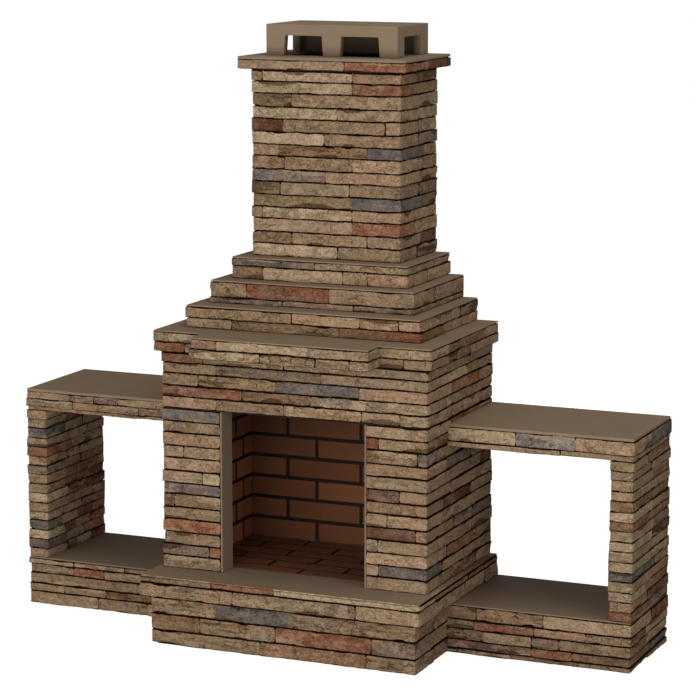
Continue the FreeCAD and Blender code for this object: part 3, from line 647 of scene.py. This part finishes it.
hearth = merged_copy("hearth_slab")
bed_out(hearth)
hearth_low, hearth_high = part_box("hearth_slab")
body_low, body_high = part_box("body_front_stones")
for body_corner, way in ((body_low, ALONG_X), (body_high, ALONG_X), (body_low, ALONG_Y)):
    cut_across(hearth, body_corner, way)
for face in hearth.faces:
    middle = face.calc_center_median()
    beside = not body_low.x < middle.x < body_high.x
    ledge = face.normal.z > 0.9 and middle.y > body_low.y and beside
    lip = middle.z > hearth_high.z - TOPPING and (middle.y < body_low.y or beside)
    if ledge or lip and face.normal.y < -0.9:
        face.material_index = STONE_FINISH
    elif lip and abs(face.normal.x) > 0.9:
        # The ends of the lip take the dark scratch coat, as a painted shadow along the sides
        face.material_index = COAT_FINISH
rub_down(hearth, ARRIS)
for lip_joint in LIP_JOINTS:
    for side in (-0.0005, 0.0005):
        cut_across(hearth, hearth_low.lerp(hearth_high, lip_joint) + ALONG_X * side, ALONG_X)
lip_tone = hearth.verts.layers.float_color.new("stone_tone")
for point in hearth.verts:
    share = (point.co.x - hearth_low.x) / (hearth_high.x - hearth_low.x)
    lip_stone = LIP_STONES[sum(share > lip_joint for lip_joint in LIP_JOINTS)]
    point[lip_tone] = STONES["n" if point.co.y > body_low.y else lip_stone][0]
set_in_place(hearth, "hearth_slab", "cast", "concrete", concrete, scratch_coat, ledgestone)


# Hearth edge stones: the same ledgestone, set under the lip of the topping, a thin course
# over a thick one, with wide beds.

lay_stones("hearth_edge_stones", rows_of((LIP_STONES, "dtt")), tight=-1.0, head="flush")


# Firebox panels and lintel beam: plain concrete panels that make the box, set on the hearth.
# Stones hide them outside and firebrick inside, so they keep the scratch coat.

for panel in ("firebox_rear_wall", "firebox_left_wall", "firebox_right_wall", "lintel_beam"):
    coat_panel(panel)


# Jamb panels: the two front panels beside the mouth, cast with a lip that covers the ends
# of the stones. They get a little painted shade all over.

def paint_soot_and_shade(piece, amount):
    """Soot and painted shade on a concrete piece, from 0 to 1, worked out for each of its points.
    """
    soot_and_shade = piece.data.attributes.new("soot_and_shade", "FLOAT", "POINT")
    for point in piece.data.vertices:
        soot_and_shade.data[point.index].value = amount(point.co)


# An even painted shade on both jambs
JAMB_SHADE = 0.2
for jamb in ("left_jamb_panel", "right_jamb_panel"):
    paint_soot_and_shade(cast(jamb), lambda spot: JAMB_SHADE)


# Lintel angle: a rolled steel angle, painted dark brown, let into the beam over the mouth
# to carry the stones above it.

dark_steel, wire = new_finish("dark_painted_steel")
place = wire.place()
brushed = wire.cloud(place, 40.0, 4.0, 0.6)
rust = wire.cloud(place, 15.0, 5.0, 0.65).ramp(0.58, 0.7)
wire.surface(Base_Color=wire.mix(rust * 0.6, paint(44, 30, 19), paint(76, 44, 24)),
             Roughness=0.7 + brushed * 0.2, Specular_IOR_Level=0.1,
             Normal=wire.bump(brushed, 0.2, 0.001))


def coat(material, *names):
    """Gives CAD nodes that keep their shape a finish."""
    for name in names:
        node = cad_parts[name]
        node.data.materials.clear()
        node.data.materials.append(material)


coat(dark_steel, "lintel_angle")


# Firebricks: dense dark red bricks, laid in bond on the floor and three walls of the firebox.
# Their edges are worn, and smoke has darkened them towards the throat.

firebrick, wire = new_finish("sooty_firebrick")
place = wire.place()
burnt = wire.cloud(place, 11.0, 4.0, 0.6)
sandy = wire.cloud(place, 240.0, 3.0, 0.75)
soot = (wire.parts(place)[2] + (burnt - 0.5) * 0.4).ramp(0.5, 1.2)
clay = wire.shade(wire.attribute("brick_tone", "Color"), 0.72 + burnt * 0.36 + sandy * 0.2)
wire.surface(Base_Color=wire.mix(soot * 0.65, clay, paint(24, 17, 13)), Roughness=0.9,
             Specular_IOR_Level=0.1, Normal=wire.bump(sandy + burnt, 0.5, 0.003))

BRICK_RED = paint(88, 54, 35)
WORN_EDGE = 0.0028
FACE_SKIN = 0.0006
JOINT_SHADE = 0.2


def lay_bricks(node, painted_wall_light, facing):
    """Bricks with worn edges and tones of their own, lighter or darker on each wall as painted
    light, and black with painted shade where they go back into the joints.
    """
    bricks = merged_copy(node)
    number = bricks.faces.layers.int.new("brick")
    count = number_pieces(bricks, number)
    tone = bricks.verts.layers.float_color.new("brick_tone")
    red, green, blue, alpha = BRICK_RED
    shades = {}
    for brick in range(1, count + 1):
        draw = random.Random(f"{node} {brick}")
        lightness, redness = painted_wall_light * draw.uniform(0.82, 1.18), draw.uniform(0.94, 1.06)
        shades[brick] = (red * lightness * redness, green * lightness, blue * lightness, alpha)
    for point in bricks.verts:
        point[tone] = shades[point.link_faces[0][number]]
    bmesh.ops.bevel(bricks, geom=bricks.edges[:], offset=WORN_EDGE, offset_type="OFFSET",
                    segments=2, profile=0.5, affect="EDGES", clamp_overlap=True, material=-1)
    face_level = max(point.co.dot(facing) for point in bricks.verts)
    # Points behind the face, in the joints and on the worn edges, get painted shade
    for point in bricks.verts:
        if point.co.dot(facing) < face_level - FACE_SKIN:
            point[tone] = point[tone] * JOINT_SHADE
    return set_in_place(bricks, node, "laid", "firebrick", firebrick)


# How light each wall's bricks are made: the left wall, which lies in shade, much lighter and the
# rear darker, as painted light
for wall, painted_wall_light, facing in (("floor", 1.85, (0.0, 0.0, 1.0)), ("rear", 1.5, (0.0, -1.0, 0.0)),
                                ("left", 3.5, (1.0, 0.0, 0.0)), ("right", 1.8, (-1.0, 0.0, 0.0))):
    lay_bricks(f"firebrick_{wall}", painted_wall_light, Vector(facing))


# Refractory mortar: the charcoal joint round the firebricks, struck a little behind their
# faces.

charcoal, wire = new_finish("charcoal_joint")
place = wire.place()
sandy = wire.cloud(place, 300.0, 3.0, 0.75)
smoked = wire.cloud(place, 9.0)
wire.surface(Base_Color=wire.mix(sandy * 0.5 + smoked * 0.5, paint(22, 18, 15), paint(44, 36, 30)),
             Roughness=0.95, Specular_IOR_Level=0.05, Normal=wire.bump(sandy, 0.6, 0.002))
coat(charcoal, "mortar_floor", "mortar_rear", "mortar_left", "mortar_right")


# Body stones: the ledgestone of the firebox, thirteen courses beside the mouth and five over
# it, with corner stones that turn from the front into the sides. Under the mantel the top
# course gets a painted shadow on all but the rear.

MOUTH_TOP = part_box("lintel_angle")[0].z
lay_stones("body_front_stones",
           rows_of(("rttt", "tgt", "tdbt", "rnl", "ttttt"), foot=MOUTH_TOP),
           rows_of(("b", "t", "t", "tt", "t", "tl", "b", "nt", "t", "r", "t", "gr", "t"),
                   right=0.0, head=MOUTH_TOP),
           rows_of(("t", "rt", "db", "t", "t", "kt", "t", "tt", "kt", "tt", "t", "tb", "t"),
                   left=0.0, head=MOUTH_TOP), tight=-0.5, head="shaded")
for side, side_head in (("left", "shaded"), ("right", "shaded"), ("rear", "jointed")):
    lay_stones(f"body_{side}_stones", tight=-0.5, head=side_head)


# Mantel slab: a thick cast shelf over the mouth whose middle part stands forward, trowelled
# like the hearth, with the throat of the fire through it.

cast("mantel_slab")


# Mantel edge stones: two courses of ledgestone under the lip of the mantel, bedded against
# the slab and taken round its breakfront.

BREAKFRONT = 0.38
lay_stones("mantel_edge_stones", rows_of(("tl", "rg"), right=-BREAKFRONT),
           rows_of(("tlt", "ldtl"), left=-BREAKFRONT, right=BREAKFRONT),
           rows_of(("l", "dt"), left=BREAKFRONT))


# Smoke chamber: three corbelled tiers, each a cast block with a trowelled ledge on top, that
# gather the smoke from the throat into the flue.

for tier in ("lower", "middle", "upper"):
    cast(f"smoke_chamber_{tier}")


# Tier stones: two courses of the same split ledgestone round each tier, bedded against the
# block under the lip of its ledge.

lay_stones("lower_tier_stones", rows_of(("tttt", "tdr")))
lay_stones("middle_tier_stones", rows_of(("drt", "ggg")))
lay_stones("upper_tier_stones", rows_of(("bt", "dltt")))


# Chimney blocks: four equal rings, bedded one on another round the flue, with the scratch
# coat that the stones are laid on.

for block in range(1, 5):
    coat_panel(f"chimney_block_{block}")


# Chimney stones: fifteen courses of ledgestone, bedded against the blocks, with corner stones
# that turn into the sides. Under the crown the top course gets a painted shadow.

lay_stones("chimney_front_stones",
           rows_of(("tlt", "lr", "dtl", "lt", "ktl", "lt", "ldb", "ntl", "pt", "dlt", "tb", "tlt",
                    "lr", "dtl", "lt")), head="shaded")
for side in ("left", "right", "rear"):
    lay_stones(f"chimney_{side}_stones", head="shaded")


# Flue tiles: two square-cornered fired clay liners inside the chimney blocks, sooted from
# within.

flue_clay, wire = new_finish("sooted_flue_clay")
place = wire.place()
fired = wire.cloud(place, 8.0, 4.0, 0.6)
sandy = wire.cloud(place, 260.0, 3.0, 0.7)
wire.surface(Base_Color=wire.mix(fired.ramp(0.35, 0.7), paint(52, 38, 30), paint(26, 20, 16)),
             Roughness=0.85, Specular_IOR_Level=0.1, Normal=wire.bump(sandy + fired, 0.4, 0.002))
coat(flue_clay, "flue_tile_lower", "flue_tile_upper")


# Crown: the cast slab that closes the chimney round the flue and throws the rain clear,
# trowelled on top like the mantel.

cast("chimney_crown")


# Crown edge stones: one course of ledgestone under the lip of the crown, bedded against the
# edge of the slab.

lay_stones("crown_edge_stones", rows_of(("tr",)))


# Cap: a cast hood with a window in each side and two in front, set over the flue to keep
# out the rain. Its inside is black with soot.

CAP_WALL = 0.038
CAP_SKIN = 0.004
cap_low, cap_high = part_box("chimney_cap")


def cap_soot(spot):
    """None on the outside of the hood, and black all over its inside."""
    inside = min(spot.x - cap_low.x, cap_high.x - spot.x, spot.y - cap_low.y, cap_high.y - spot.y,
                 cap_high.z - spot.z)
    return min(1.0, max(0.0, inside - CAP_SKIN) / (CAP_WALL - 2 * CAP_SKIN))


paint_soot_and_shade(cast("chimney_cap", 0.003), cap_soot)


# Wood boxes: on each side a hollow base and a shelf with trowelled tops, and between them an
# outer pier with the scratch coat. The base of the box gets painted shade that deepens
# towards the rear.

FRONT_SHADE, REAR_SHADE = 0.15, 0.9
for side in ("left", "right"):
    box_low, box_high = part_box(f"{side}_woodbox_base")
    # Painted shade on the base, deeper towards the rear
    paint_soot_and_shade(cast(f"{side}_woodbox_base"),
         lambda spot: FRONT_SHADE + REAR_SHADE * (spot.y - box_low.y) / (box_high.y - box_low.y))
    cast(f"{side}_woodbox_shelf")
    coat_panel(f"{side}_woodbox_pier")


# Wood box stones: the same ledgestone, five courses on each base and sixteen close ones on
# each pier, one stone to a course across its front. The left shelf has three courses, and
# the right one a thick course over a thin one.

# A darker mix of stones for the sides of the piers, which partly paints the shade these sides lie
# in
PIER_SIDE_STONES_WITH_SHADE = "tttttggnnddrrkk"
lay_stones("left_woodbox_base_stones", rows_of(("ttt", "trtt", "ttt", "ttkt", "ttt")), tight=-0.5)
lay_stones("left_woodbox_pier_stones", rows_of("tlbtrtgttlttblbt"), others=PIER_SIDE_STONES_WITH_SHADE,
           tight=0.6)
lay_stones("left_woodbox_shelf_stones", rows_of(("ttbt", "ttt", "tt")), tight=1.0)
lay_stones("right_woodbox_base_stones", rows_of(("ndt", "grtd", "dtst", "srn", "dnd")), tight=-0.5)
lay_stones("right_woodbox_pier_stones", rows_of("tltlnlrtltlbtltr"), others=PIER_SIDE_STONES_WITH_SHADE,
           tight=0.6)
lay_stones("right_woodbox_shelf_stones", rows_of(("lpl", "tt")))


# Studio: a pale floor, and a white surround that gives a little warm light. One broad soft
# lamp stands in front, weaker ones to the right, behind and to the left, and one overhead.

WHITE, BLACK = (1.0, 1.0, 1.0, 1.0), (0.0, 0.0, 0.0, 1.0)
floor_finish, wire = new_finish("pale_floor")
camera_ray = wire.node("ShaderNodeLightPath", {}, {}, "Is Camera Ray")
speckle = wire.cloud(wire.place(), 3.0)
wire.surface(Base_Color=wire.mix(speckle * 0.2, paint(120, 120, 119), paint(116, 116, 115)),
             Roughness=0.9, Emission_Color=wire.mix(camera_ray, BLACK, WHITE),
             Emission_Strength=0.91)
ground = bmesh.new()
bmesh.ops.create_grid(ground, x_segments=1, y_segments=1, size=20.0)
bmesh.ops.translate(ground, verts=ground.verts, vec=(0.0, 0.0, -0.0005))
floor_mesh = bpy.data.meshes.new("floor")
ground.to_mesh(floor_mesh)
ground.free()
floor_mesh.materials.append(floor_finish)
floor = bpy.data.objects.new("floor", floor_mesh)
bpy.context.scene.collection.objects.link(floor)

surround = bpy.data.worlds.new("white_surround")
surround.use_nodes = True
surround.node_tree.nodes.clear()
bpy.context.scene.world = surround
wire = Wire(surround.node_tree)
seen_white = wire.node("ShaderNodeLightPath", {}, {}, "Is Camera Ray")
for ray in ("Is Glossy Ray", "Is Transmission Ray"):
    seen_white = wire.maths("MAXIMUM", seen_white, wire.node("ShaderNodeLightPath", {}, {}, ray))
warm = wire.node("ShaderNodeBackground", {}, {"Color": (1.0, 0.93, 0.85, 1.0), "Strength": 0.22})
white = wire.node("ShaderNodeBackground", {}, {"Color": WHITE, "Strength": 1.0})
sky = wire.node("ShaderNodeMixShader", {}, {0: seen_white, 1: warm, 2: white})
world_output = surround.node_tree.nodes.new("ShaderNodeOutputWorld")
surround.node_tree.links.new(sky.socket, world_output.inputs["Surface"])

LAMP_AIM = Vector((0.0, 0.0, 1.3))
for lamp_name, energy, width, height, spot in (
        ("front_lamp", 330.0, 6.5, 3.0, (-0.4, -6.3, 1.4)),
        ("right_lamp", 100.0, 2.5, 2.5, (6.0, -3.4, 1.8)),
        ("overhead_lamp", 117.0, 4.0, 4.0, (1.8, -0.6, 7.0)),
        ("rear_lamp", 85.0, 4.0, 1.0, (-1.2, 6.5, 0.6)),
        ("left_lamp", 60.0, 3.0, 1.2, (-6.5, 1.5, 0.8))):
    lamp_data = bpy.data.lights.new(lamp_name, "AREA")
    lamp_data.shape = "RECTANGLE"
    lamp_data.energy = energy
    lamp_data.size = width
    lamp_data.size_y = height
    lamp = bpy.data.objects.new(lamp_name, lamp_data)
    lamp.location = spot
    lamp.rotation_euler = (lamp.location - LAMP_AIM).to_track_quat("Z", "Y").to_euler()
    bpy.context.scene.collection.objects.link(lamp)


# Camera: a long lens on a stand in front and to the right, higher than the cap and looking a
# little down on the mantel.

CAMERA_AIM = Vector((0.0492, 0.1590, 1.3717))
camera_data = bpy.data.cameras.new("camera")
camera_data.lens = 135.47
camera_data.sensor_width = 36.0
camera_data.shift_x = -0.0008
camera_data.shift_y = -0.0441
camera = bpy.data.objects.new("camera", camera_data)
camera.location = (4.47233, -10.16346, 3.19185)
camera.rotation_euler = (CAMERA_AIM - camera.location).to_track_quat("-Z", "Y").to_euler()
bpy.context.scene.collection.objects.link(camera)
bpy.context.scene.camera = camera
bpy.context.scene.view_settings.view_transform = "Standard"
